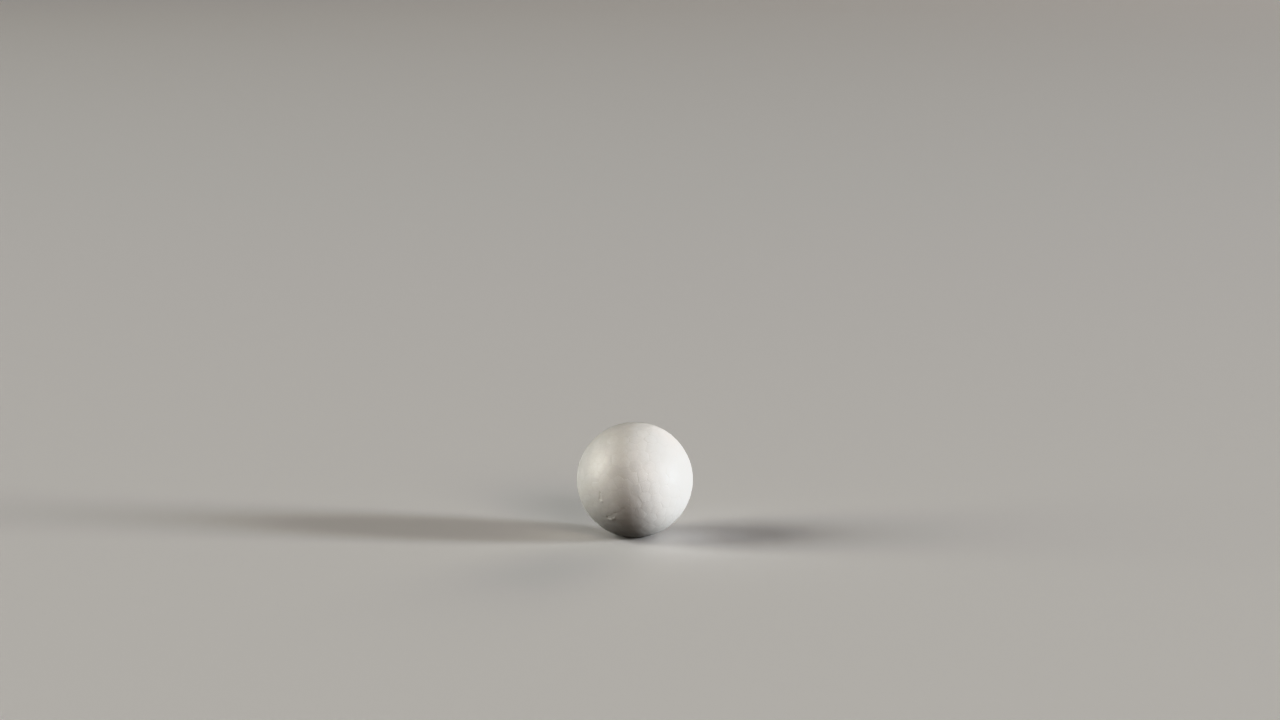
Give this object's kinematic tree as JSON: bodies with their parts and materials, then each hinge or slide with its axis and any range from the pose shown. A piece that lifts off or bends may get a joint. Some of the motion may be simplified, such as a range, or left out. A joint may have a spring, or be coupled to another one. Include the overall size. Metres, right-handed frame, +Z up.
{
  "type": "polystyrene ball",
  "caption": "Solid white ball of expanded polystyrene: fused foam beads under a smooth moulded skin, with a fine mould seam. A light sphere for craft, models and demonstrations.",
  "frame": {"origin": "centre of the ball", "axes": "+Z up as pictured, -Y towards the viewer; +Y is the mould's axis, square to the parting seam in the plane Y = 0"},
  "size_m": [0.02, 0.02, 0.02],
  "materials": {
    "expanded_polystyrene": "white foam with a smooth matte moulded skin and faint outlines of fused beads"
  },
  "bodies": {
    "root": {"ball": "expanded_polystyrene"}
  },
  "joints": []
}
